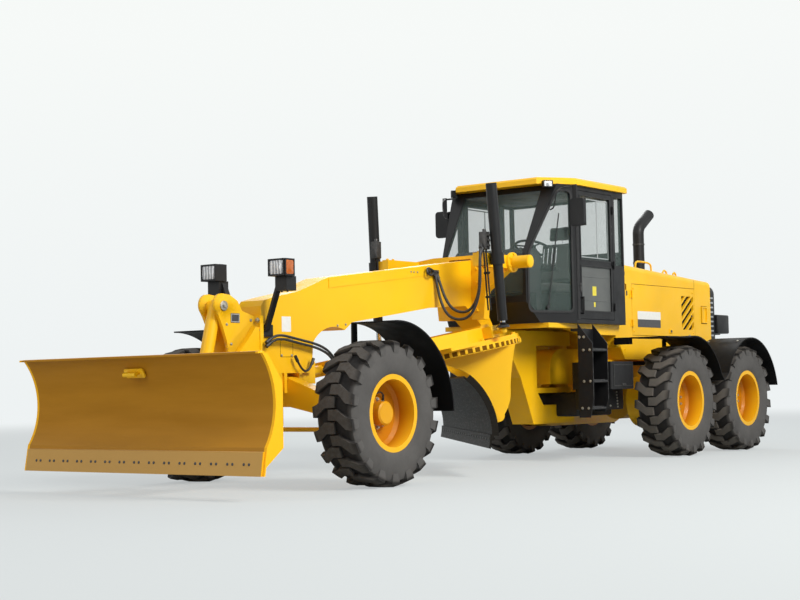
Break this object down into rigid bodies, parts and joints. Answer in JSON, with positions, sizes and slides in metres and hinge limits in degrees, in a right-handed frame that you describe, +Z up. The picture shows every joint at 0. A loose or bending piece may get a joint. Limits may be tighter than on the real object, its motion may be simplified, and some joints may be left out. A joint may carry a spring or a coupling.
{
  "type": "motor grader",
  "caption": "Articulated motor grader with a long arched beam, a turning circle blade, a front dozer blade, a glazed cab and tandem rear wheels.",
  "frame": {"origin": "on the ground, under the centre of the machine's bounding box", "axes": "+Z up, +Y towards the machine's tail, +X to the driver's left"},
  "size_m": [2.896, 10.345, 3.1948],
  "materials": {
    "machine_paint": "gloss",
    "dozer_paint": "satin",
    "black_paint": "satin",
    "blade_steel": "satin",
    "rod_chrome": "polished",
    "cab_glass": "clear",
    "cab_trim": "matte",
    "seat_fabric": "woven",
    "engine_iron": "rough",
    "tyre": "matte"
  },
  "bodies": {
    "rear_chassis": {"rear_frame": "machine_paint", "rear_axle": "machine_paint", "engine_block": "engine_iron", "hood": "machine_paint", "rear_grille": "machine_paint", "tail_box": "black_paint", "exhaust_stack": "black_paint", "rear_fenders": "black_paint", "cab_shell": "black_paint", "cab_glass": "cab_glass", "cab_roof": "machine_paint", "work_lamps": "black_paint", "seat_base": "cab_trim", "seat_pads": "seat_fabric", "steering_console": "cab_trim", "dash_cowl": "cab_trim", "mirrors": "black_paint", "ladders": "black_paint", "side_boxes": "black_paint"},
    "front_chassis": {"front_frame": "machine_paint", "front_axle": "machine_paint", "lift_saddle": "machine_paint", "dozer_mount": "machine_paint", "head_lamps": "black_paint"},
    "drawbar": {"drawbar": "machine_paint"},
    "circle": {"circle": "machine_paint"},
    "tip_bracket": {"tip_bracket": "machine_paint"},
    "blade": {"moldboard": "blade_steel", "cutting_edge": "blade_steel"},
    "dozer": {"dozer_arms": "machine_paint", "dozer_blade": "dozer_paint"},
    "dozer_barrel": {"dozer_barrel": "machine_paint"},
    "dozer_rod": {"dozer_rod": "rod_chrome"},
    "tie_rod": {"tie_rod": "machine_paint"},
    "knuckle_left": {"knuckle_left": "machine_paint", "front_fender_left": "black_paint"},
    "wheel_front_left": {"tyre_front_left": "tyre", "rim_front_left": "machine_paint"},
    "wheel_middle_left": {"tyre_middle_left": "tyre", "rim_middle_left": "machine_paint"},
    "wheel_rear_left": {"tyre_rear_left": "tyre", "rim_rear_left": "machine_paint"},
    "lift_barrel_left": {"lift_barrel_left": "black_paint"},
    "lift_rod_left": {"lift_rod_left": "rod_chrome"},
    "cab_door_left": {"cab_door_left": "black_paint", "door_glass_left": "cab_glass"},
    "hood_door_left": {"hood_door_left": "machine_paint"},
    "knuckle_right": {"knuckle_right": "machine_paint", "front_fender_right": "black_paint"},
    "wheel_front_right": {"tyre_front_right": "tyre", "rim_front_right": "machine_paint"},
    "wheel_middle_right": {"tyre_middle_right": "tyre", "rim_middle_right": "machine_paint"},
    "wheel_rear_right": {"tyre_rear_right": "tyre", "rim_rear_right": "machine_paint"},
    "lift_barrel_right": {"lift_barrel_right": "black_paint"},
    "lift_rod_right": {"lift_rod_right": "rod_chrome"},
    "cab_door_right": {"cab_door_right": "black_paint", "door_glass_right": "cab_glass"},
    "hood_door_right": {"hood_door_right": "machine_paint"}
  },
  "joints": [
    {"name": "articulation", "type": "hinge", "parent": "rear_chassis", "child": "front_chassis", "pos_m": [0, 1.6925, 1.1], "axis": [0, 0, 1], "range_deg": [-25, 25]},
    {"name": "drawbar_lift", "type": "hinge", "parent": "front_chassis", "child": "drawbar", "pos_m": [0, -2.9305, 1.039], "axis": [1, 0, 0], "range_deg": [-20, 0]},
    {"name": "circle_turn", "type": "hinge", "parent": "drawbar", "child": "circle", "pos_m": [-0.00792, -0.54788, 1.25444], "axis": [-0.1433, -0.1336, 0.9806], "range_deg": [-3, 97]},
    {"name": "blade_tip", "type": "hinge", "parent": "circle", "child": "tip_bracket", "pos_m": [0.30969, -0.25171, 0.5611], "axis": [0.682, -0.7314, 0], "range_deg": [-10, 25]},
    {"name": "blade_shift", "type": "slide", "parent": "tip_bracket", "child": "blade", "axis": [-0.682, 0.7314, 0], "range_m": [-0.4, 0.4]},
    {"name": "lift_barrel_left", "type": "hinge", "parent": "front_chassis", "child": "lift_barrel_left", "pos_m": [0.806, -0.7785, 2.2], "axis": [1, 0, 0], "range_deg": [-1.97, 0.1]},
    {"name": "lift_rod_left", "type": "slide", "parent": "lift_barrel_left", "child": "lift_rod_left", "axis": [0.0001, 0.1087, -0.9941], "range_m": [-0.002, 0.792]},
    {"name": "lift_barrel_right", "type": "hinge", "parent": "front_chassis", "child": "lift_barrel_right", "pos_m": [-0.806, -0.7785, 2.2], "axis": [1, 0, 0], "range_deg": [-4.43, 0.1]},
    {"name": "lift_rod_right", "type": "slide", "parent": "lift_barrel_right", "child": "lift_rod_right", "axis": [-0.0408, 0.0987, -0.9943], "range_m": [-0.002, 0.782]},
    {"name": "dozer_lift", "type": "hinge", "parent": "front_chassis", "child": "dozer", "pos_m": [0, -3.8275, 0.64], "axis": [-1, 0, 0], "range_deg": [-8, 25]},
    {"name": "dozer_barrel", "type": "hinge", "parent": "front_chassis", "child": "dozer_barrel", "pos_m": [0, -4.1505, 1.641], "axis": [-1, 0, 0], "range_deg": [-2.37, 0.89]},
    {"name": "dozer_rod", "type": "slide", "parent": "dozer_barrel", "child": "dozer_rod", "axis": [0, -0.2598, -0.9657], "range_m": [-0.249, 0.082]},
    {"name": "steer_left", "type": "hinge", "parent": "front_chassis", "child": "knuckle_left", "pos_m": [0.95, -3.2675, 0.655], "axis": [0, 0, 1], "range_deg": [-42, 42]},
    {"name": "steer_right", "type": "hinge", "parent": "front_chassis", "child": "knuckle_right", "pos_m": [-0.95, -3.2675, 0.655], "axis": [0, 0, 1], "range_deg": [-42, 42]},
    {"name": "tie_rod", "type": "slide", "parent": "front_chassis", "child": "tie_rod", "axis": [1, 0, 0], "range_m": [-0.103, 0.103]},
    {"name": "wheel_front_left", "type": "hinge", "parent": "knuckle_left", "child": "wheel_front_left", "pos_m": [1.13, -3.2675, 0.655], "axis": [1, 0, 0], "continuous": true},
    {"name": "wheel_middle_left", "type": "hinge", "parent": "rear_chassis", "child": "wheel_middle_left", "pos_m": [1.13, 2.511, 0.655], "axis": [1, 0, 0], "continuous": true},
    {"name": "wheel_rear_left", "type": "hinge", "parent": "rear_chassis", "child": "wheel_rear_left", "pos_m": [1.13, 4.094, 0.655], "axis": [1, 0, 0], "continuous": true},
    {"name": "wheel_front_right", "type": "hinge", "parent": "knuckle_right", "child": "wheel_front_right", "pos_m": [-1.13, -3.2675, 0.655], "axis": [1, 0, 0], "continuous": true},
    {"name": "wheel_middle_right", "type": "hinge", "parent": "rear_chassis", "child": "wheel_middle_right", "pos_m": [-1.13, 2.511, 0.655], "axis": [1, 0, 0], "continuous": true},
    {"name": "wheel_rear_right", "type": "hinge", "parent": "rear_chassis", "child": "wheel_rear_right", "pos_m": [-1.13, 4.094, 0.655], "axis": [1, 0, 0], "continuous": true},
    {"name": "cab_door_left", "type": "hinge", "parent": "rear_chassis", "child": "cab_door_left", "pos_m": [0.804, 1.6845, 2.3], "axis": [0, 0, 1], "range_deg": [0, 95]},
    {"name": "hood_door_left", "type": "hinge", "parent": "rear_chassis", "child": "hood_door_left", "pos_m": [0.614, 2.4505, 1.75], "axis": [0, 0, -1], "range_deg": [0, 80]},
    {"name": "cab_door_right", "type": "hinge", "parent": "rear_chassis", "child": "cab_door_right", "pos_m": [-0.804, 1.6845, 2.3], "axis": [0, 0, -1], "range_deg": [0, 95]},
    {"name": "hood_door_right", "type": "hinge", "parent": "rear_chassis", "child": "hood_door_right", "pos_m": [-0.614, 2.4505, 1.75], "axis": [0, 0, 1], "range_deg": [0, 80]}
  ],
  "couplings": [
    {"joint": "lift_barrel_left", "follows": "drawbar_lift", "ratio": 0.09336},
    {"joint": "lift_rod_left", "follows": "drawbar_lift", "m_per_rad": -2.2616},
    {"joint": "lift_barrel_right", "follows": "drawbar_lift", "ratio": 0.21654},
    {"joint": "lift_rod_right", "follows": "drawbar_lift", "m_per_rad": -2.2313},
    {"joint": "dozer_barrel", "follows": "dozer_lift", "ratio": -0.08679},
    {"joint": "dozer_rod", "follows": "dozer_lift", "m_per_rad": -0.56451},
    {"joint": "steer_right", "follows": "steer_left", "ratio": 1},
    {"joint": "tie_rod", "follows": "steer_left", "m_per_rad": -0.14}
  ]
}
